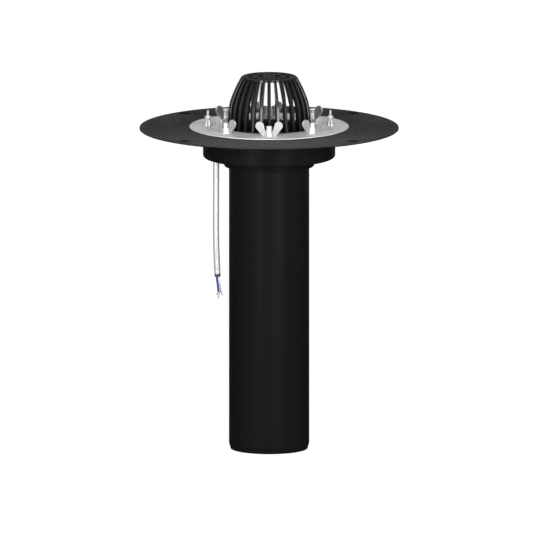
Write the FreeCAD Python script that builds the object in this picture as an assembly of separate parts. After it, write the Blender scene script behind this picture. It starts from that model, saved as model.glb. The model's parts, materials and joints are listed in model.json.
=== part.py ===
"""Flat roof drain with a clamping ring, a leaf guard, a heated double wall and a long outlet pipe.

Millimetres. The origin is the centre of the outlet pipe's lower end, +Z points up the pipe,
and -Y is the front. Heights are measured from the pipe's lower end.
"""
import FreeCAD, Part
import math
import os

V = FreeCAD.Vector
ORIGIN = V(0, 0, 0)
UP = V(0, 0, 1)

# Clearances
face_gap = 0.3  # between pieces that lie in a space without being gripped
slip_fit = 0.2  # radial, where one round piece slides over another
turning_fit = 0.05  # radial, between a stud and the nut that turns on it
socket_play = 0.4  # radial, between the pipe's spigot and its socket
overcut = 1.0  # how far a cutting or joined shape runs past the face it meets

# Outlet pipe
pipe_radius = 55.0
pipe_wall = 4.3
pipe_length = 428.0
pipe_taper_length = 8.2
pipe_taper_depth = 2.2
pipe_end_rounding = 0.5
spigot_relief = 0.6  # radial, turned off the upper end that stands in the socket
spigot_run_out = 1.0

# Socket under the drain body
socket_collar = 6.6  # how far the socket stands out from the pipe
socket_depth = 35.5
seal_chamber_wall = 2.2
seal_chamber_height = 9.0
seal_lip_play = 0.05
seal_lip_height = 1.0
retainer_height = 3.2
retainer_spigot_height = 3.0
retainer_spigot_wall = 1.6
retainer_shadow_groove = 1.0
retainer_chamfer = 0.4

# Drain body: flange, throat and neck, and the hub that holds the studs
flange_radius = 177.6
flange_rise = 17.3  # from the pipe's upper end to the flange's upper face
flange_thickness = 3.0
flange_taper_width = 7.0  # the underside thins towards the rim
flange_taper_height = 1.1
flange_edge_rounding = 0.4
throat_step = 2.0  # the ledge that stops the pipe, measured from the pipe's outside
throat_mouth_chamfer = 1.5
neck_wall = 4.0
neck_shoulder = 2.0
heater_groove_height = 10.0
hub_wall = 2.4
hub_overlap = 4.0  # how far the hub reaches down over the casing
boss_radius = 9.3
boss_inset = 0.05  # how far the bosses end inside the hub's outer face
rib_thickness = 2.4
rib_depth = 6.0
rib_clearance = 1.5

# Grip grooves in the flange, where the roofing sheet is pressed or welded on
groove_pitch = 4.1
groove_depth = 0.8
groove_width = 1.8
groove_margin = 10.1  # from the clamping ring to the first groove
groove_rim_margin = 8.5

# Fixing holes through the flange
fixing_rim_distance = 14.7
fixing_hole_radius = 3.0
fixing_collar_radius = 4.6
fixing_recess_radius = 7.0
fixing_recess_depth = 1.5
fixing_pad_radius = 9.5
fixing_pad_depth = 0.5  # below the recess
nail_hole_radius = 2.2
nail_hole_shift = 14.0

# Clamping: studs, gasket, ring and wing nuts
ring_margin = 3.7  # from the guard's recess to the ring's bore
ring_width = 46.9
ring_thickness = 1.2
ring_edge_rounding = 0.5
ring_bevel_width = 3.5
ring_bevel_drop = 0.6
ring_hole_play = 0.5
gasket_setback = 2.5  # of the gasket's edges inside the ring's
gasket_thickness = 1.7
gasket_recess_depth = 1.0
stud_count = 8
stud_inset = 21.9  # from the ring's bore to the circle of the studs
stud_radius = 4.0
stud_rise = 15.7
stud_point = 0.8
head_across_flats = 13.0
head_height = 5.3
head_play = 0.15
head_cover = 1.0
head_recess = 1.7
nut_height = 7.5
nut_base_radius = 6.1
nut_top_radius = 5.2
wing_tip_offset = 13.0
wing_tip_height = 14.1
wing_tip_radius = 5.7
wing_root_offset = 7.6
wing_root_height = 2.9
wing_root_radius = 2.9
wing_thickness = 2.8

# Leaf guard: its outline as heights above the seat and setbacks from the base ring's rim
guard_height = 73.2
guard_recess_depth = 2.4
guard_seat_width = 5.0
guard_base_height = 3.0
guard_bore_setback = 4.1  # of the base ring's bore inside the throat's
guard_foot_inset = 0.1  # the fins stand this far inside the base ring's rim
guard_foot_depth = 2.0
guard_shoulder_share = 0.4033
guard_shoulder_setback = 2.6
guard_bend_share = 0.5953
guard_bend_setback = 6.1
guard_brow_drop = 2.5
guard_brow_setback = 18.6
guard_crown_setback = 22.6
guard_crown_bulge = 0.6
guard_turn = 1.0  # degrees, as the guard happens to sit
fin_count = 30
fin_thickness = 3.1
fin_depth = 6.0
cap_overhang = 1.2
cap_thickness = 3.0
cap_spoke_width = 3.4
cap_inner_slots = 6
cap_outer_slots = 12
cap_inner_ring = (0.26, 0.465)  # of the cap's radius
cap_outer_ring = (0.615, 0.806)
leg_count = 4
leg_angle = 36.0
leg_wall = 2.2
leg_length = 11.4
leg_bead = 0.9
leg_bead_height = 1.5
leg_root = 0.6

# Insulation casing, foam and trace heating
casing_height = 30.3
casing_wall = 3.0
casing_corner = 4.1
casing_inner_chamfer = 1.5
foam_inner_play = 1.0
heater_overhang = 1.4  # how far the heating band stands out past the socket
heater_slit = 8.0
terminal_width = 14.0
terminal_height = 9.4

# Heating cable
cable_radius = 4.35
cable_standoff = 9.6  # from the heating band to the cable's middle
grommet_neck_radius = 6.4
grommet_flange_radius = 9.0
grommet_flange_height = 2.4
grommet_nose_height = 6.0
grommet_nose_radius = 5.8
channel_play = 1.0
bend_share = 0.45  # of the shorter run beside a bend that its arc takes up
end_sleeve_radius = 4.2
end_sleeve_length = 4.0
end_sleeve_rounding = 0.9

# Radii and heights that follow from the sizes above
pipe_bore_radius = pipe_radius - pipe_wall
spigot_radius = pipe_radius - spigot_relief
socket_bore_radius = spigot_radius + socket_play
socket_radius = pipe_radius + socket_collar
seal_chamber_radius = socket_radius - seal_chamber_wall
socket_mouth_z = pipe_length - socket_depth
spigot_bottom_z = socket_mouth_z - spigot_run_out
retainer_top_z = socket_mouth_z + retainer_height
seal_chamber_top_z = retainer_top_z + seal_chamber_height

throat_radius = pipe_radius - throat_step
flange_top_z = pipe_length + flange_rise
flange_bottom_z = flange_top_z - flange_thickness
heater_groove_radius = throat_radius + neck_wall
heater_groove_top_z = flange_bottom_z - neck_shoulder
heater_groove_bottom_z = heater_groove_top_z - heater_groove_height
heater_inner_radius = heater_groove_radius + slip_fit
heater_radius = socket_radius + heater_overhang

guard_base_radius = throat_radius + guard_seat_width
guard_bore_radius = throat_radius - guard_bore_setback
guard_recess_radius = guard_base_radius + face_gap
guard_seat_z = flange_top_z - guard_recess_depth
guard_base_top_z = guard_seat_z + guard_base_height
guard_top_z = guard_seat_z + guard_height
cap_radius = guard_base_radius - guard_crown_setback + cap_overhang

ring_inner_radius = guard_recess_radius + ring_margin
ring_outer_radius = ring_inner_radius + ring_width
gasket_inner_radius = ring_inner_radius + gasket_setback
gasket_outer_radius = ring_outer_radius - gasket_setback
gasket_seat_z = flange_top_z - gasket_recess_depth
gasket_top_z = gasket_seat_z + gasket_thickness
ring_top_z = gasket_top_z + ring_thickness
stud_circle_radius = ring_inner_radius + stud_inset
stud_angles = [360.0 * i / stud_count - 90.0 for i in range(stud_count)]
stud_top_z = flange_top_z + stud_rise
stud_shoulder_z = flange_bottom_z - head_cover
boss_bottom_z = stud_shoulder_z - head_height - head_recess

groove_first_radius = ring_outer_radius + groove_margin
groove_count = int((flange_radius - groove_rim_margin - groove_first_radius) / groove_pitch) + 1
fixing_offset = (flange_radius - fixing_rim_distance) / math.sqrt(2)

hub_radius = stud_circle_radius + boss_radius + boss_inset
hub_bore_radius = hub_radius - hub_wall
hub_bottom_z = boss_bottom_z - hub_overlap
casing_radius = hub_bore_radius - slip_fit
casing_bore_radius = casing_radius - casing_wall
casing_bottom_z = boss_bottom_z - casing_height
casing_floor_z = casing_bottom_z + casing_wall
terminal_bottom_z = boss_bottom_z - face_gap - terminal_height

# Route of the hanging cable from the grommet down to its cut end
cable_x = -heater_radius - cable_standoff
cable_top_z = casing_bottom_z - grommet_nose_height
cable_route = [
    V(cable_x, 0.0, cable_top_z),
    V(cable_x, 0.0, cable_top_z - 45.0),
    V(cable_x - 0.30, -0.15, cable_top_z - 92.0),
    V(cable_x + 0.40, 0.10, cable_top_z - 130.0),
    V(cable_x + 1.90, 0.20, cable_top_z - 156.0),
]
cable_end = cable_route[-1]
cable_end_way = (cable_end - cable_route[-2]).normalize()
sleeve_end = cable_end + cable_end_way * end_sleeve_length

# The three cores: where each leaves the end sleeve, measured across it, then the way it hangs
# and the tip of its stripped strand, from the cable's end
core_radius = 1.25
strand_radius = 0.8
core_first_run = 4.5
cores = {
    "dark": (V(-1.3, -1.3, 0), V(0.4, -2.0, -16.0), V(1.0, -2.2, -24.6), V(-1.2, -1.8, -29.4)),
    "pale": (V(1.3, -0.3, 0), V(2.8, 0.2, -16.0), V(2.7, 0.6, -24.2), V(1.3, 0.3, -34.7)),
    "grey": (V(-0.1, 1.9, 0), V(3.3, 3.0, -16.0), V(4.1, 3.0, -23.8), V(6.9, 2.4, -30.5)),
}


def turned(shape, angle):
    """A copy of the shape turned about the vertical axis, in degrees."""
    copy = shape.copy()
    copy.rotate(ORIGIN, UP, angle)
    return copy


def at_angle(radius, angle, z=0.0):
    """The point at a radius, an angle in degrees and a height."""
    return V(radius * math.cos(math.radians(angle)), radius * math.sin(math.radians(angle)), z)


def cylinder(radius, low_z, high_z, centre=ORIGIN):
    """An upright cylinder between two heights."""
    return Part.makeCylinder(radius, high_z - low_z, V(centre.x, centre.y, low_z), UP)


def tube(inner_radius, outer_radius, low_z, high_z, centre=ORIGIN):
    """An upright tube between two heights."""
    outer = cylinder(outer_radius, low_z, high_z, centre)
    return outer.cut(cylinder(inner_radius, low_z - overcut, high_z + overcut, centre))


def rounded_face(corners):
    """A flat face in the XZ plane from corners (x, z) or (x, z, rounding radius)."""
    starts = []
    ends = []
    arcs = []
    for i, corner in enumerate(corners):
        here = V(corner[0], 0, corner[1])
        before = V(corners[i - 1][0], 0, corners[i - 1][1])
        after = V(corners[(i + 1) % len(corners)][0], 0, corners[(i + 1) % len(corners)][1])
        if len(corner) < 3:
            starts.append(here)
            ends.append(here)
            arcs.append(None)
            continue
        back = (before - here).normalize()
        on = (after - here).normalize()
        half = back.getAngle(on) / 2
        reach = corner[2] / math.tan(half)
        middle = (back + on).normalize() * (corner[2] / math.sin(half) - corner[2])
        starts.append(here + back * reach)
        ends.append(here + on * reach)
        arcs.append(here + middle)
    edges = []
    for i in range(len(corners)):
        if arcs[i] is not None:
            edges.append(Part.Arc(starts[i], arcs[i], ends[i]).toShape())
        following = starts[(i + 1) % len(corners)]
        edges.append(Part.LineSegment(ends[i], following).toShape())
    return Part.Face(Part.Wire(edges))


def revolved(corners):
    """A solid of revolution about the vertical axis from (radius, z) corners."""
    return rounded_face(corners).revolve(ORIGIN, UP, 360)


def smooth_run(points):
    """A wire of straight runs joined by the largest tangent arcs, and the arcs' radii."""
    edges = []
    radii = []
    start = points[0]
    for before, here, after in zip(points, points[1:], points[2:]):
        back = (before - here).normalize()
        on = (after - here).normalize()
        reach = bend_share * min((before - here).Length, (after - here).Length)
        half = back.getAngle(on) / 2
        radius = reach * math.tan(half)
        middle = (back + on).normalize() * (radius / math.sin(half) - radius)
        edges.append(Part.LineSegment(start, here + back * reach).toShape())
        edges.append(Part.Arc(here + back * reach, here + middle, here + on * reach).toShape())
        start = here + on * reach
        radii.append(round(radius))
    edges.append(Part.LineSegment(start, points[-1]).toShape())
    return Part.Wire(edges), radii


def swept_round(points, radius):
    """A round rod along a run of points."""
    path, radii = smooth_run(points)
    section = Part.Wire(Part.Circle(points[0], points[1] - points[0], radius).toShape())
    rod = path.makePipeShell([section], True, True)
    print("arc radii", radii, "volume ratio", rod.Volume / (math.pi * radius ** 2 * path.Length))
    return rod


def outlet_pipe():
    """The pipe: its lower end tapered, its upper end turned to stand in the socket."""
    return revolved([
        (pipe_bore_radius, 0),
        (pipe_radius - pipe_taper_depth, 0, pipe_end_rounding),
        (pipe_radius, pipe_taper_length),
        (pipe_radius, spigot_bottom_z),
        (spigot_radius, spigot_bottom_z),
        (spigot_radius, pipe_length),
        (pipe_bore_radius, pipe_length),
    ])


def pipe_seal_ring():
    """Rubber ring with a lip that bears on the pipe, held in the socket's chamber."""
    low_z = retainer_top_z + retainer_spigot_height + face_gap / 3
    high_z = seal_chamber_top_z - face_gap / 3
    outer = seal_chamber_radius - face_gap / 3
    lip = spigot_radius + seal_lip_play
    back = (lip + outer) / 2
    return revolved([
        (outer, low_z),
        (outer, high_z),
        (back, high_z),
        (lip, (low_z + high_z) / 2 + seal_lip_height),
        (lip, (low_z + high_z) / 2),
        (back, low_z),
    ])


def seal_retainer():
    """Ring that closes the socket's mouth and keeps the rubber ring in."""
    spigot = seal_chamber_radius - face_gap / 3
    spigot_top_z = retainer_top_z + retainer_spigot_height
    return revolved([
        (socket_bore_radius, socket_mouth_z),
        (socket_radius - retainer_chamfer, socket_mouth_z),
        (socket_radius, socket_mouth_z + retainer_chamfer),
        (socket_radius, retainer_top_z - retainer_shadow_groove),
        (socket_radius - retainer_shadow_groove, retainer_top_z),
        (spigot, retainer_top_z),
        (spigot, spigot_top_z),
        (spigot - retainer_spigot_wall, spigot_top_z),
        (spigot - retainer_spigot_wall, retainer_top_z),
        (socket_bore_radius, retainer_top_z),
    ])


def body_profile():
    """Half section of the body: socket below, throat, flange with its grip grooves above."""
    groove = groove_width / 2
    face = [
        (flange_radius - flange_taper_width, flange_bottom_z),
        (flange_radius, flange_bottom_z + flange_taper_height, flange_edge_rounding),
        (flange_radius, flange_top_z, flange_edge_rounding),
    ]
    for i in reversed(range(groove_count)):
        centre = groove_first_radius + groove_pitch * i
        face.append((centre + groove, flange_top_z))
        face.append((centre, flange_top_z - groove_depth))
        face.append((centre - groove, flange_top_z))
    return face + [
        (gasket_outer_radius + face_gap, flange_top_z),
        (gasket_outer_radius + face_gap, gasket_seat_z),
        (gasket_inner_radius - face_gap, gasket_seat_z),
        (gasket_inner_radius - face_gap, flange_top_z),
        (guard_recess_radius, flange_top_z),
        (guard_recess_radius, guard_seat_z),
        (throat_radius + throat_mouth_chamfer, guard_seat_z),
        (throat_radius, guard_seat_z - throat_mouth_chamfer),
        (throat_radius, pipe_length),
        (socket_bore_radius, pipe_length),
        (socket_bore_radius, seal_chamber_top_z),
        (seal_chamber_radius, seal_chamber_top_z),
        (seal_chamber_radius, retainer_top_z),
        (socket_radius, retainer_top_z),
        (socket_radius, heater_groove_bottom_z),
        (heater_groove_radius, heater_groove_bottom_z),
        (heater_groove_radius, heater_groove_top_z),
        (socket_radius, flange_bottom_z),
    ]


def hexagon(across_flats, low_z, high_z, angle):
    """An upright hexagonal prism on the stud circle, one corner along the given angle."""
    radius = across_flats / math.sqrt(3)
    points = [at_angle(radius, 60 * i, low_z) + V(stud_circle_radius, 0, 0) for i in range(6)]
    prism = Part.Face(Part.makePolygon(points + points[:1])).extrude(V(0, 0, high_z - low_z))
    return turned(prism, angle)


def drain_body():
    """One moulding: flange, throat and socket, with a hub wall, stud bosses and ribs below."""
    added = [tube(hub_bore_radius, hub_radius, hub_bottom_z, flange_bottom_z + overcut)]
    removed = []
    centre = V(stud_circle_radius, 0, 0)
    boss = cylinder(boss_radius, boss_bottom_z, flange_bottom_z + overcut, centre)
    rib_inner_radius = heater_radius + rib_clearance
    rib = Part.makeBox(
        stud_circle_radius - rib_inner_radius,
        rib_thickness,
        rib_depth + overcut,
        V(rib_inner_radius, -rib_thickness / 2, flange_bottom_z - rib_depth),
    )
    shank_hole = cylinder(stud_radius + turning_fit, boss_bottom_z, flange_top_z + overcut, centre)
    pocket_width = head_across_flats + 2 * head_play
    for angle in stud_angles:
        added.append(turned(boss, angle))
        added.append(turned(rib, angle))
        removed.append(turned(shank_hole, angle))
        removed.append(hexagon(pocket_width, boss_bottom_z - overcut, stud_shoulder_z, angle))
    pad_bottom_z = flange_top_z - fixing_recess_depth - fixing_pad_depth
    low_z = flange_bottom_z - overcut
    high_z = flange_top_z + overcut
    for side_x in (-1, 1):
        for side_y in (-1, 1):
            hole = V(side_x * fixing_offset, side_y * fixing_offset, 0)
            nail = hole - V(side_x * nail_hole_shift, 0, 0)
            recess_z = flange_top_z - fixing_recess_depth
            added.append(cylinder(fixing_pad_radius, pad_bottom_z, flange_top_z, hole))
            removed.append(tube(fixing_collar_radius, fixing_recess_radius, recess_z, high_z, hole))
            removed.append(cylinder(fixing_hole_radius, low_z, high_z, hole))
            removed.append(cylinder(nail_hole_radius, low_z, high_z, nail))
    return revolved(body_profile()).fuse(added).cut(removed).removeSplitter()


def stud():
    """Hexagon bolt standing head down in its boss, on the stud circle at angle zero."""
    centre = V(stud_circle_radius, 0, 0)
    shank = cylinder(stud_radius, stud_shoulder_z, stud_top_z - stud_point, centre)
    point = Part.makeCone(
        stud_radius, stud_radius - stud_point, stud_point, centre + V(0, 0, stud_top_z - stud_point), UP
    )
    head = hexagon(head_across_flats, stud_shoulder_z - head_height, stud_shoulder_z, 0)
    return shank.fuse([point, head]).removeSplitter()


def stud_holes(low_z, high_z):
    """The eight holes that let the studs through a flat ring."""
    centre = V(stud_circle_radius, 0, 0)
    hole = cylinder(stud_radius + ring_hole_play, low_z - overcut, high_z + overcut, centre)
    return [turned(hole, angle) for angle in stud_angles]


def sealing_gasket():
    """Flat rubber ring, sunk in the flange under the clamping ring."""
    ring = tube(gasket_inner_radius, gasket_outer_radius, gasket_seat_z, gasket_top_z)
    return ring.cut(stud_holes(gasket_seat_z, gasket_top_z))


def clamp_ring():
    """Flat metal ring with a rounded rim, a bevelled bore and a hole for each stud."""
    ring = revolved([
        (ring_inner_radius, gasket_top_z),
        (ring_outer_radius, gasket_top_z),
        (ring_outer_radius, ring_top_z, ring_edge_rounding),
        (ring_inner_radius + ring_bevel_width, ring_top_z),
        (ring_inner_radius, ring_top_z - ring_bevel_drop),
    ])
    return ring.cut(stud_holes(gasket_top_z, ring_top_z))


def wing(side):
    """One wing of the nut, a tapering blade with a round tip, as seen along X."""
    root = V(0, side * wing_root_offset, wing_root_height)
    tip = V(0, side * wing_tip_offset, wing_tip_height)
    along = tip - root
    lean = math.acos((wing_root_radius - wing_tip_radius) / along.Length)
    heading = math.atan2(along.z, along.y)

    def rim(centre, radius, angle):
        return centre + V(0, radius * math.cos(angle), radius * math.sin(angle))

    left = heading + lean
    right = heading - lean
    edges = [
        Part.LineSegment(rim(root, wing_root_radius, right), rim(tip, wing_tip_radius, right)),
        Part.Arc(
            rim(tip, wing_tip_radius, right),
            rim(tip, wing_tip_radius, heading),
            rim(tip, wing_tip_radius, left),
        ),
        Part.LineSegment(rim(tip, wing_tip_radius, left), rim(root, wing_root_radius, left)),
        Part.Arc(
            rim(root, wing_root_radius, left),
            rim(root, wing_root_radius, heading + math.pi),
            rim(root, wing_root_radius, right),
        ),
    ]
    blade = Part.Face(Part.Wire([edge.toShape() for edge in edges]))
    blade.translate(V(-wing_thickness / 2, 0, 0))
    return blade.extrude(V(wing_thickness, 0, 0))


def wing_nut():
    """Wing nut at angle zero on the stud circle, its wings along the circle."""
    boss = Part.makeCone(nut_base_radius, nut_top_radius, nut_height, ORIGIN, UP)
    nut = boss.fuse([wing(-1), wing(1)]).removeSplitter()
    nut = nut.cut(cylinder(stud_radius + turning_fit, -overcut, wing_tip_height + wing_tip_radius))
    nut.translate(V(stud_circle_radius, 0, ring_top_z))
    return nut


def guard_fin():
    """One fin of the leaf guard: the same curved outline outside and, set in, inside."""
    shoulder_z = guard_seat_z + guard_shoulder_share * guard_height
    bend_z = guard_seat_z + guard_bend_share * guard_height
    base = V(guard_base_radius - guard_foot_inset, 0, guard_base_top_z - guard_foot_depth)
    shoulder = V(guard_base_radius - guard_shoulder_setback, 0, shoulder_z)
    bend = V(guard_base_radius - guard_bend_setback, 0, bend_z)
    brow = V(guard_base_radius - guard_brow_setback, 0, guard_top_z - guard_brow_drop)
    crown = V(guard_base_radius - guard_crown_setback, 0, guard_top_z)
    steep = math.degrees(math.atan2(base.x - shoulder.x, shoulder.z - base.z))
    bend_chord = bend - shoulder
    brow_chord = brow - bend
    lean_bend = math.degrees(math.atan2(-bend_chord.x, bend_chord.z))
    lean_brow = math.degrees(math.atan2(-brow_chord.x, brow_chord.z))

    def bulged(start, chord, turn):
        """The middle of an arc that turns by the given degrees over the chord."""
        rise = chord.Length / 2 * math.tan(math.radians(turn) / 4)
        return start + chord / 2 + V(chord.z, 0, -chord.x).normalize() * rise

    outside = [
        Part.LineSegment(base, shoulder),
        Part.Arc(shoulder, bulged(shoulder, bend_chord, 2 * (lean_bend - steep)), bend),
        Part.Arc(bend, bulged(bend, brow_chord, lean_brow - lean_bend), brow),
    ]
    inset = V(-fin_depth, 0, 0)
    inside = [
        Part.Arc(
            brow + inset, bulged(bend, brow_chord, lean_brow - lean_bend) + inset, bend + inset
        ),
        Part.Arc(
            bend + inset,
            bulged(shoulder, bend_chord, 2 * (lean_bend - steep)) + inset,
            shoulder + inset,
        ),
        Part.LineSegment(shoulder + inset, base + inset),
    ]
    crown_chord = crown - brow
    crown_way = V(crown_chord.z, 0, -crown_chord.x).normalize()
    crown_middle = brow + crown_chord / 2 + crown_way * guard_crown_bulge
    crown_inner = V(brow.x - fin_depth, 0, guard_top_z)
    edges = outside + [
        Part.Arc(brow, crown_middle, crown),
        Part.LineSegment(crown, crown_inner),
        Part.LineSegment(crown_inner, brow + inset),
    ] + inside + [Part.LineSegment(base + inset, base)]
    face = Part.Face(Part.Wire([edge.toShape() for edge in edges]))
    face.translate(V(0, -fin_thickness / 2, 0))
    return face.extrude(V(0, fin_thickness, 0))


def cap_slots(ring, count):
    """The curved slots between the spokes of one ring of the guard's cap."""
    low_z = guard_top_z - cap_thickness - overcut
    high_z = guard_top_z + overcut
    band = tube(ring[0] * cap_radius, ring[1] * cap_radius, low_z, high_z)
    spoke = Part.makeBox(cap_radius, cap_spoke_width, high_z - low_z + 2 * overcut)
    spoke.translate(V(0, -cap_spoke_width / 2, low_z - overcut))
    return band.cut([turned(spoke, 360.0 * i / count) for i in range(count)])


def guard_leg():
    """One springy leg under the guard, with a bead that bears on the throat."""
    bead_radius = throat_radius - face_gap
    outer = bead_radius - leg_bead
    low_z = guard_seat_z - leg_length
    profile = rounded_face([
        (outer - leg_wall, low_z),
        (outer, low_z),
        (bead_radius, low_z + leg_bead_height),
        (bead_radius, low_z + 2 * leg_bead_height),
        (outer, low_z + 3 * leg_bead_height),
        (outer, guard_seat_z + leg_root),
        (outer - leg_wall, guard_seat_z + leg_root),
    ])
    return turned(profile, -leg_angle / 2).revolve(ORIGIN, UP, leg_angle)


def leaf_guard():
    """One moulding: a cage of fins between a base ring and a slotted cap, with four legs."""
    base = tube(guard_bore_radius, guard_base_radius, guard_seat_z, guard_base_top_z)
    cap = cylinder(cap_radius, guard_top_z - cap_thickness, guard_top_z)
    cap = cap.cut([cap_slots(cap_inner_ring, cap_inner_slots), cap_slots(cap_outer_ring, cap_outer_slots)])
    fin = guard_fin()
    leg = guard_leg()
    fins = [turned(fin, 360.0 * i / fin_count - 90.0 + guard_turn) for i in range(fin_count)]
    legs = [turned(leg, 360.0 * (i + 0.5) / leg_count) for i in range(leg_count)]
    return base.fuse([cap] + fins + legs).removeSplitter()


def insulation_casing():
    """Shallow round shell that closes the insulation from below."""
    return revolved([
        (socket_radius + slip_fit, casing_bottom_z),
        (casing_radius, casing_bottom_z, casing_corner),
        (casing_radius, boss_bottom_z),
        (casing_bore_radius, boss_bottom_z),
        (casing_bore_radius, casing_floor_z + casing_inner_chamfer),
        (casing_bore_radius - casing_inner_chamfer, casing_floor_z),
        (socket_radius + slip_fit, casing_floor_z),
    ]).cut(cylinder(grommet_neck_radius + slip_fit / 2, 0, casing_floor_z + overcut, V(cable_x, 0, 0)))


def insulation_foam():
    """Foam ring around the socket, with a channel and a pocket for the heater's lead."""
    inner = heater_radius + foam_inner_play
    top_z = boss_bottom_z - face_gap
    outer = casing_bore_radius - face_gap
    foam = revolved([
        (inner, casing_floor_z),
        (outer - casing_inner_chamfer, casing_floor_z),
        (outer, casing_floor_z + casing_inner_chamfer),
        (outer, top_z),
        (inner, top_z),
    ])
    centre = V(cable_x, 0, 0)
    channel = cylinder(cable_radius + channel_play, 0, top_z + overcut, centre)
    mouth_top_z = casing_floor_z + grommet_flange_height + face_gap
    mouth = cylinder(grommet_flange_radius + channel_play, 0, mouth_top_z, centre)
    pocket = terminal_box(channel_play)
    return foam.cut([channel, mouth, pocket])


def terminal_box(margin):
    """The block under the heater where the lead enters, or the space for it."""
    far_x = cable_x - cable_radius - channel_play
    return Part.makeBox(
        -socket_radius - far_x + margin,
        terminal_width + 2 * margin,
        terminal_height + 2 * margin,
        V(far_x - margin, -terminal_width / 2 - margin, terminal_bottom_z - margin),
    )


def heating_element():
    """Slit heating band in the groove of the neck, with its terminal block."""
    low_z = heater_groove_bottom_z + face_gap
    band = tube(heater_inner_radius, heater_radius, low_z, heater_groove_top_z - face_gap)
    slit = Part.makeBox(
        heater_radius + overcut,
        heater_slit,
        heater_groove_height,
        V(0, -heater_slit / 2, heater_groove_bottom_z),
    )
    block = terminal_box(0).cut(cylinder(socket_radius + slip_fit, 0, flange_bottom_z))
    return band.cut(slit).fuse(block).removeSplitter()


def heater_lead():
    """The held stretch of the cable, from the terminal block down through the grommet."""
    low_z = casing_bottom_z - grommet_nose_height
    return cylinder(cable_radius, low_z, terminal_bottom_z, V(cable_x, 0, 0))


def cable_grommet():
    """Rubber grommet that grips the edge of the casing's cable hole."""
    bore = cable_radius + slip_fit / 4
    grommet = revolved([
        (bore, casing_bottom_z - grommet_nose_height),
        (grommet_nose_radius, casing_bottom_z - grommet_nose_height),
        (grommet_neck_radius, casing_bottom_z - grommet_flange_height),
        (grommet_flange_radius, casing_bottom_z - grommet_flange_height),
        (grommet_flange_radius, casing_bottom_z),
        (grommet_neck_radius, casing_bottom_z),
        (grommet_neck_radius, casing_floor_z),
        (grommet_flange_radius, casing_floor_z),
        (grommet_nose_radius, casing_floor_z + grommet_flange_height),
        (bore, casing_floor_z + grommet_flange_height),
    ])
    grommet.translate(V(cable_x, 0, 0))
    return grommet


def cable_end_sleeve():
    """Shrunk sleeve over the cut end of the cable's sheath."""
    sleeve = Part.makeCylinder(end_sleeve_radius, end_sleeve_length, cable_end, cable_end_way)
    lower_rim = [edge for edge in sleeve.Edges if edge.CenterOfMass.distanceToPoint(sleeve_end) < 0.1]
    return sleeve.makeFillet(end_sleeve_rounding, lower_rim)


def cable_core(across, bend, end, strand_tip):
    """One insulated core with its stripped strand."""
    start = sleeve_end + across - cable_end_way * across.dot(cable_end_way)
    run = [start, start + cable_end_way * core_first_run, cable_end + bend, cable_end + end]
    core = swept_round(run, core_radius)
    strand_way = strand_tip - end
    strand = Part.makeCylinder(strand_radius, strand_way.Length, cable_end + end, strand_way)
    return core.fuse(strand)


parts = {
    "outlet_pipe": outlet_pipe(),
    "pipe_seal_ring": pipe_seal_ring(),
    "seal_retainer": seal_retainer(),
    "drain_body": drain_body(),
    "sealing_gasket": sealing_gasket(),
    "clamp_ring": clamp_ring(),
    "leaf_guard": leaf_guard(),
    "insulation_casing": insulation_casing(),
    "insulation_foam": insulation_foam(),
    "heating_element": heating_element(),
    "heater_lead": heater_lead(),
    "cable_grommet": cable_grommet(),
    "heating_cable": swept_round(cable_route, cable_radius),
    "cable_end_sleeve": cable_end_sleeve(),
}
for number, angle in enumerate(stud_angles, 1):
    parts["stud_%d" % number] = turned(stud(), angle)
    parts["wing_nut_%d" % number] = turned(wing_nut(), angle)
for colour, way in cores.items():
    parts["cable_core_" + colour] = cable_core(*way)

os.makedirs("parts", exist_ok=True)
for name, shape in parts.items():
    solids = shape.Solids
    print(name, "solids", len(solids), "valid", shape.isValid(), "volume", round(shape.Volume, 1))
    whole = solids[0] if len(solids) == 1 else shape
    whole.exportStep(os.path.join("parts", name + ".step"))
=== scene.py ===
import json
import math

import bpy
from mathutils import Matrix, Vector


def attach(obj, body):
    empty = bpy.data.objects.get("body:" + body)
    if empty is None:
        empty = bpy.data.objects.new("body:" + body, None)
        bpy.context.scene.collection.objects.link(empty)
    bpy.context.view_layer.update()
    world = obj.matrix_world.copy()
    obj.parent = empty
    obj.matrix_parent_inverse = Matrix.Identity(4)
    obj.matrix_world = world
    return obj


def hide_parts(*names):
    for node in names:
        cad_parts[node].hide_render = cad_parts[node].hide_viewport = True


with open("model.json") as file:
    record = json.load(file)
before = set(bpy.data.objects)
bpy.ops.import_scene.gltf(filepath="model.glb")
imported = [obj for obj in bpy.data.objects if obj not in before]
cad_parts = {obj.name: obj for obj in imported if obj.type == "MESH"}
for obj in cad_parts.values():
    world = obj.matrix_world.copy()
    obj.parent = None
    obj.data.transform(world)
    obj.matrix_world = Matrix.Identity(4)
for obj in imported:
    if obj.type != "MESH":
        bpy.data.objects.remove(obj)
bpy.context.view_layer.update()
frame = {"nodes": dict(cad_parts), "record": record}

MM = 0.001

# The photograph's view: a parallel one, a little above level
view_elevation = math.radians(9.55)
view_width = 0.7394
view_distance = 15.0
view_reach = 200.0
view_centre = Vector((0.0012, 0.0, 0.2471))

# Floor: how bright it is seen near the object and far from it, and how bright the object mirrors it
floor_size = 60.0
floor_grey = 0.86
floor_roughness = 0.9
floor_glow_share = 0.8
floor_glow_near = 1.2
floor_glow_far = 1.28
floor_near = 0.8
floor_far = 2.5
floor_mirrored_front = 0.8
floor_mirrored_beyond = 0.35
floor_front_end = -0.9
floor_beyond_start = 0.2

# World: its light on the object, and how bright the object mirrors it in the middle and beside
fill_strength = 0.02
mirrored_middle = 1.0
mirrored_beside = 0.8
middle_end = 0.35
beside_start = 0.85

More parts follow.
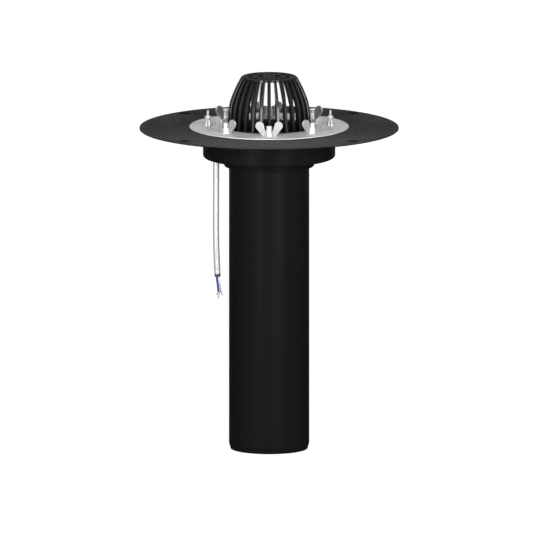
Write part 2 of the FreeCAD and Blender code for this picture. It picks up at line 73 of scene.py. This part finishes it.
# Lamps: azimuth from the camera's side and elevation in degrees, width and height in metres,
# power in watts, and the height that they face
lamp_distance = 2.2
lamps = {
    "key_right": (28, 9, (0.5, 1.2), 46, 0.3),
    "key_left": (-28, 9, (0.5, 1.2), 46, 0.3),
    "top": (0, 55, (1.2, 1.2), 1, 0.4),
    "rear_right": (150, 6, (0.5, 1.2), 7, 0.35),
    "rear_left": (-150, 6, (0.5, 1.2), 7, 0.35),
}

# Upper faces lie above this height, and the upright share of their normal is past this range
upper_height = 0.440
upper_slope = (0.3, 0.6)

# Textures: features per metre, strength of the bump, and its depth
plastic_cloud = 35.0
plastic_speckle = 260.0
plastic_bump = 0.35
steel_cloud = 25.0
steel_bump = 0.12
wire_grain = 900.0
soft_bump = 0.3
soft_bump_scale = 12  # times the scale of the colour's variation
bump_depth = 0.02 * MM
bevel_samples = 4

# Numbers that all finishes of a kind share
plastic_base_roughness = 0.7
soft_gloss_roughness = 0.38
soft_gloss_ior = 2.2
wire_edge = 0.2 * MM  # height over which a core's insulation ends

# Finishes, by the record's slot names
plastics = {
    "pipe_plastic": dict(grey=0.0055, gloss=0.037, grain=900, stretch=(1, 1, 0.02)),
    # The drain body's upward faces at the flange's top get a painted lighter grey that stands in for light
    # falling on them
    "body_plastic": dict(
        grey=0.0055, gloss=0.021, grain=1400, edge=0.25 * MM, upper_grey=0.136, upper_gloss=0.012
    ),
    "casing_plastic": dict(grey=0.0055, gloss=0.031, grain=1400, edge=0.25 * MM),
    "guard_plastic": dict(
        grey=0.008, gloss=0.75, gloss_roughness=0.30, grain=1400, edge=0.35 * MM, upper_gloss=0.14
    ),
}
metals = {
    "ring_steel": dict(grey=0.86, roughness=0.48, brushing=700, edge=0.3 * MM, metal=0.14),
    "nut_steel": dict(grey=0.58, roughness=0.31, brushing=500, edge=0.5 * MM, metal=0.55),
    "stud_steel": dict(grey=0.85, roughness=0.30, brushing=500, edge=0.2 * MM, metal=0.7),
    "heater_metal": dict(grey=0.6, roughness=0.4, brushing=500, edge=0.2 * MM),
}
soft_ones = {
    "seal_rubber": dict(dark=(0.008,) * 3, light=(0.012,) * 3, roughness=0.6, scale=300, bump=bump_depth),
    "gasket_rubber": dict(dark=(0.009,) * 3, light=(0.014,) * 3, roughness=0.55, scale=300, bump=bump_depth),
    "foam": dict(dark=(0.45, 0.45, 0.42), light=(0.6, 0.6, 0.57), roughness=0.95, scale=400, bump=0.2 * MM),
    "cable_sheath": dict(
        dark=(0.25, 0.25, 0.247), light=(0.275, 0.275, 0.271), roughness=0.42, scale=150, bump=0.004 * MM,
        gloss=1.0,
    ),
    "sleeve_blue": dict(
        dark=(0.012, 0.02, 0.035), light=(0.02, 0.032, 0.05), roughness=0.5, scale=400, bump=bump_depth
    ),
    "core_dark_blue": dict(
        dark=(0.012, 0.016, 0.075), light=(0.02, 0.026, 0.11), roughness=0.4, scale=400, bump=0.01 * MM,
        bare_below=0.2174,
    ),
    "core_pale_blue": dict(
        dark=(0.34, 0.40, 0.66), light=(0.40, 0.46, 0.74), roughness=0.4, scale=400, bump=0.01 * MM,
        bare_below=0.2178,
    ),
    "core_grey": dict(
        dark=(0.52, 0.56, 0.62), light=(0.58, 0.62, 0.67), roughness=0.4, scale=400, bump=0.01 * MM,
        bare_below=0.2182,
    ),
}
bare_wire_dark = (0.20, 0.185, 0.19)
bare_wire_light = (0.32, 0.30, 0.31)

# Cable, with the route's points as in the part's own source
cable_radius = 4.35 * MM
cable_points = [
    (-72.60, 0.00, 398.0),
    (-72.60, 0.00, 353.0),
    (-72.90, -0.15, 306.0),
    (-72.20, 0.10, 268.0),
    (-70.70, 0.20, 242.0),
]


def feed(tree, target, inputs):
    """Links outputs to the target's sockets, or sets the sockets to numbers, colours or vectors."""
    for key, value in inputs.items():
        if isinstance(value, bpy.types.NodeSocket):
            tree.links.new(value, target.inputs[key])
        else:
            target.inputs[key].default_value = value


def add(tree, kind, inputs, **settings):
    """A new shader node with its settings, and what goes into its sockets by name or number."""
    made = tree.nodes.new(kind)
    for key, value in settings.items():
        setattr(made, key, value)
    feed(tree, made, inputs)
    return made


def new_material(name):
    """A new node material, its nodes and its Principled shader."""
    made = bpy.data.materials.new(name)
    made.use_nodes = True
    return made, made.node_tree, made.node_tree.nodes["Principled BSDF"]


def object_point(tree, stretch=(1, 1, 1)):
    """The place on the piece, stretched along the axes."""
    place = add(tree, "ShaderNodeTexCoord", {}).outputs["Object"]
    return add(tree, "ShaderNodeMapping", {"Vector": place, "Scale": stretch}).outputs["Vector"]


def along(tree, vector, axis):
    """One coordinate of a vector."""
    return add(tree, "ShaderNodeSeparateXYZ", {"Vector": vector}).outputs[axis]


def noise(tree, point, scale, detail=4.0, roughness=0.55):
    """Noise over the object, at a scale in features per metre."""
    inputs = {"Vector": point, "Scale": scale, "Detail": detail, "Roughness": roughness}
    return add(tree, "ShaderNodeTexNoise", inputs).outputs["Fac"]


def ranged(tree, value, low, high, start=0.0, end=1.0):
    """A number from low to high, as the value goes from start to end."""
    inputs = {"Value": value, "From Min": start, "From Max": end, "To Min": low, "To Max": high}
    return add(tree, "ShaderNodeMapRange", inputs).outputs["Result"]


def worked_out(tree, operation, *values):
    """The result of one piece of arithmetic, such as a product or the larger, on the values."""
    return add(tree, "ShaderNodeMath", dict(enumerate(values)), operation=operation).outputs[0]


def mixed_numbers(tree, share, first, second):
    """The first number where the share is zero, the second where it is one."""
    return add(tree, "ShaderNodeMix", {0: share, 2: first, 3: second}).outputs[0]


def mixed_colours(tree, share, first, second):
    """The first colour where the share is zero, the second where it is one."""
    return add(tree, "ShaderNodeMix", {0: share, 6: first, 7: second}, data_type="RGBA").outputs[2]


def mixed_shaders(tree, share, first, second):
    """The first shader where the share is zero, the second where it is one."""
    return add(tree, "ShaderNodeMixShader", {0: share, 1: first, 2: second}).outputs[0]


def times(grey, shares):
    """A colour with these shares of a grey."""
    return tuple(grey * share for share in shares)


def tinted(tree, value, dark, light):
    """A colour between two, as the value goes from 0.3 to 0.7."""
    ramp = add(tree, "ShaderNodeValToRGB", {"Fac": value})
    for stop, position, colour in zip(ramp.color_ramp.elements, (0.3, 0.7), (dark, light)):
        stop.position = position
        stop.color = (*colour, 1)
    return ramp.outputs["Color"]


def bumped(tree, height, strength, distance, edge=0.0):
    """The normal of a bumped surface, over edges softened by a small radius."""
    inputs = {"Height": height, "Strength": strength, "Distance": distance}
    if edge:
        bevel = add(tree, "ShaderNodeBevel", {"Radius": edge}, samples=bevel_samples)
        inputs["Normal"] = bevel.outputs["Normal"]
    return add(tree, "ShaderNodeBump", inputs).outputs["Normal"]


def upper_faces(tree):
    """One on the top's faces that look up, zero on the others."""
    normal = add(tree, "ShaderNodeNewGeometry", {}).outputs["Normal"]
    looks_up = ranged(tree, along(tree, normal, "Z"), 0.0, 1.0, *upper_slope)
    height = along(tree, object_point(tree), "Z")
    is_high = ranged(tree, height, 0.0, 1.0, upper_height, upper_height + MM)
    return worked_out(tree, "MULTIPLY", looks_up, is_high)


def black_plastic(name, grey, gloss, grain, gloss_roughness=0.34, edge=0.0, stretch=(1, 1, 1),
                  upper_grey=None, upper_gloss=None):
    """Moulded or extruded black plastic: a dark base under a thin, soft gloss.

    Its upper faces can have a painted lighter grey, which stands in for the light falling on them, and a
    gloss of their own.
    """
    made, tree, shader = new_material(name)
    point = object_point(tree, stretch)
    cloud = noise(tree, point, plastic_cloud)
    colour = tinted(tree, cloud, times(grey, (0.85, 0.85, 0.85)), times(grey, (1.15, 1.15, 1.2)))
    # Painted light: upward faces above the flange's height get a lighter grey that stands in for the light
    # falling on them
    if upper_grey is not None:
        speckle = noise(tree, point, plastic_speckle)
        dark = times(upper_grey, (0.7, 0.7, 0.7))
        light = times(upper_grey, (1.3, 1.3, 1.3))
        matt = tinted(tree, speckle, dark, light)
        colour = mixed_colours(tree, upper_faces(tree), colour, matt)
    normal = bumped(tree, noise(tree, point, grain, detail=2.0), plastic_bump, bump_depth, edge)
    feed(tree, shader, {
        "Base Color": colour,
        "Specular IOR Level": 0.0,
        "Roughness": plastic_base_roughness,
        "Coat Weight": gloss,
        "Coat Roughness": gloss_roughness,
        "Normal": normal,
        "Coat Normal": normal,
    })
    if upper_gloss is not None:
        feed(tree, shader, {"Coat Weight": ranged(tree, upper_faces(tree), gloss, upper_gloss)})
    return made


def steel(name, grey, roughness, brushing, edge, metal=1.0):
    """Steel with fine marks; a lower metal share gives a pickled, whitish face."""
    made, tree, shader = new_material(name)
    point = object_point(tree)
    marks = noise(tree, point, brushing, detail=6.0, roughness=0.7)
    cloud = noise(tree, point, steel_cloud)
    feed(tree, shader, {
        "Base Color": tinted(tree, cloud, times(grey, (0.94, 0.94, 0.92)), times(grey, (1.05, 1.05, 1.03))),
        "Roughness": ranged(tree, marks, roughness * 0.8, roughness * 1.25),
        "Metallic": metal,
        "Normal": bumped(tree, marks, steel_bump, bump_depth, edge),
    })
    return made


def soft_coloured(name, dark, light, roughness, scale, bump, gloss=0.0, bare_below=None):
    """Rubber, foam or cable plastic with a little colour variation, and bare wire below a height."""
    made, tree, shader = new_material(name)
    point = object_point(tree)
    colour = tinted(tree, noise(tree, point, scale), dark, light)
    if bare_below is not None:
        wire = tinted(tree, noise(tree, point, wire_grain), bare_wire_dark, bare_wire_light)
        height = along(tree, point, "Z")
        covered = ranged(tree, height, 0.0, 1.0, bare_below - wire_edge, bare_below)
        colour = mixed_colours(tree, covered, wire, colour)
    feed(tree, shader, {
        "Base Color": colour,
        "Roughness": roughness,
        "Specular IOR Level": 0.3 + 0.7 * gloss,
        "Coat Weight": gloss,
        "Coat Roughness": soft_gloss_roughness,
        "Coat IOR": soft_gloss_ior,
        "Normal": bumped(tree, noise(tree, point, scale * soft_bump_scale), soft_bump, bump),
    })
    return made


def make_finishes():
    """Every finish, by the record's slot name."""
    made = {}
    for maker, looks in ((black_plastic, plastics), (steel, metals), (soft_coloured, soft_ones)):
        for name, look in looks.items():
            made[name] = maker(name, **look)
    return made


def dress(piece, made):
    """Gives a piece its material."""
    piece.data.materials.clear()
    piece.data.materials.append(made)


def put_in_scene(name, data):
    """A new object in the scene."""
    made = bpy.data.objects.new(name, data)
    bpy.context.scene.collection.objects.link(made)
    return made


def aim(thing, target, away, distance):
    """Sets a camera or lamp at a distance from its target, looking back at it."""
    thing.location = target + away * distance
    thing.rotation_mode = "QUATERNION"
    thing.rotation_quaternion = away.to_track_quat("Z", "Y")


def make_camera():
    """The camera at the photograph's angle."""
    data = bpy.data.cameras.new("camera")
    data.type = "ORTHO"
    data.ortho_scale = view_width
    data.clip_end = view_reach
    camera = put_in_scene("camera", data)
    away = Vector((0, -math.cos(view_elevation), math.sin(view_elevation)))
    aim(camera, view_centre, away, view_distance)
    bpy.context.scene.camera = camera


def floor_seen(tree):
    """How bright the camera sees the floor: a little more far away, where the lamps don't reach."""
    place = add(tree, "ShaderNodeNewGeometry", {}).outputs["Position"]
    distance = add(tree, "ShaderNodeVectorMath", {0: place}, operation="LENGTH").outputs["Value"]
    return ranged(tree, distance, floor_glow_near, floor_glow_far, floor_near, floor_far)


def floor_mirrored(tree):
    """How bright the object mirrors the floor: paper in front, darkness beside and behind."""
    place = add(tree, "ShaderNodeNewGeometry", {}).outputs["Position"]
    direction = add(tree, "ShaderNodeVectorMath", {0: place}, operation="NORMALIZE").outputs["Vector"]
    back = along(tree, direction, "Y")
    return ranged(
        tree, back, floor_mirrored_front, floor_mirrored_beyond, floor_front_end, floor_beyond_start
    )


def make_floor():
    """Pale floor that keeps the shadow and can't be seen from below."""
    half = floor_size / 2
    corners = [(-half, -half, 0), (half, -half, 0), (half, half, 0), (-half, half, 0)]
    mesh = bpy.data.meshes.new("floor")
    mesh.from_pydata(corners, [], [(0, 1, 2, 3)])
    floor = put_in_scene("floor", mesh)
    made, tree, shader = new_material("floor")
    feed(tree, shader, {
        "Base Color": (floor_grey, floor_grey, floor_grey, 1),
        "Roughness": floor_roughness,
        "Specular IOR Level": 0.0,
    })
    path = add(tree, "ShaderNodeLightPath", {})
    strength = mixed_numbers(tree, path.outputs["Is Glossy Ray"], floor_seen(tree), floor_mirrored(tree))
    glow = add(tree, "ShaderNodeEmission", {"Strength": strength})
    seen = worked_out(tree, "MAXIMUM", path.outputs["Is Camera Ray"], path.outputs["Is Glossy Ray"])
    share = worked_out(tree, "MULTIPLY", seen, floor_glow_share)
    lit = mixed_shaders(tree, share, shader.outputs[0], glow.outputs[0])
    below = add(tree, "ShaderNodeNewGeometry", {}).outputs["Backfacing"]
    clear = add(tree, "ShaderNodeBsdfTransparent", {}).outputs[0]
    feed(tree, tree.nodes["Material Output"], {"Surface": mixed_shaders(tree, below, lit, clear)})
    mesh.materials.append(made)


def surroundings(tree):
    """How bright the walls are that the object mirrors: white, and dimmer to both sides."""
    direction = add(tree, "ShaderNodeTexCoord", {}).outputs["Generated"]
    sideways = worked_out(tree, "ABSOLUTE", along(tree, direction, "X"))
    return ranged(tree, sideways, mirrored_middle, mirrored_beside, middle_end, beside_start)


def make_world():
    """White where it is seen, softer where it only lights the object or is mirrored."""
    world = bpy.data.worlds.new("studio")
    bpy.context.scene.world = world
    world.use_nodes = True
    tree = world.node_tree
    tree.nodes.clear()
    path = add(tree, "ShaderNodeLightPath", {})
    strength = mixed_numbers(tree, path.outputs["Is Glossy Ray"], fill_strength, surroundings(tree))
    fill = add(tree, "ShaderNodeBackground", {"Color": (1, 1, 1, 1), "Strength": strength})
    white = add(tree, "ShaderNodeBackground", {"Color": (1, 1, 1, 1), "Strength": 1.0})
    seen = worked_out(tree, "MAXIMUM", path.outputs["Is Camera Ray"], path.outputs["Is Transmission Ray"])
    surface = mixed_shaders(tree, seen, fill.outputs[0], white.outputs[0])
    add(tree, "ShaderNodeOutputWorld", {"Surface": surface})


def make_lamp(name, azimuth, elevation, size, power, target_height):
    """A soft rectangular lamp that faces the object and that the camera doesn't see."""
    data = bpy.data.lights.new(name, "AREA")
    data.shape = "RECTANGLE"
    data.size, data.size_y = size
    data.energy = power
    lamp = put_in_scene(name, data)
    a = math.radians(azimuth)
    e = math.radians(elevation)
    away = Vector((math.sin(a) * math.cos(e), -math.cos(a) * math.cos(e), math.sin(e)))
    aim(lamp, Vector((0, 0, target_height)), away, lamp_distance)
    lamp.visible_camera = False


def make_studio():
    """Floor, world and lamps."""
    bpy.context.scene.view_settings.view_transform = "Standard"
    make_floor()
    make_world()
    for name, look in lamps.items():
        make_lamp(name, *look)


def smooth_curve(name, points, radius):
    """A round cable along a smooth line through the route."""
    data = bpy.data.curves.new(name, "CURVE")
    data.dimensions = "3D"
    data.bevel_depth = radius
    data.bevel_resolution = 6
    data.resolution_u = 12
    data.use_fill_caps = True
    line = data.splines.new("NURBS")
    line.points.add(len(points) - 1)
    for point, place in zip(line.points, points):
        point.co = (*(Vector(place) * MM), 1)
    line.order_u = 3
    line.use_endpoint_u = True
    return put_in_scene(name, data)


def make_cable(sheath):
    """The hanging heating cable, as long as it is seen."""
    cable = smooth_curve("cable", cable_points, cable_radius)
    cable.data.materials.append(sheath)
    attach(cable, "drain")
    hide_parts("heating_cable")


make_camera()
make_studio()
finishes = make_finishes()
slots = {row["node"]: row["material_slot"] for row in frame["record"]["subparts"]}
for name, piece in frame["nodes"].items():
    dress(piece, finishes[slots[name]])
make_cable(finishes["cable_sheath"])
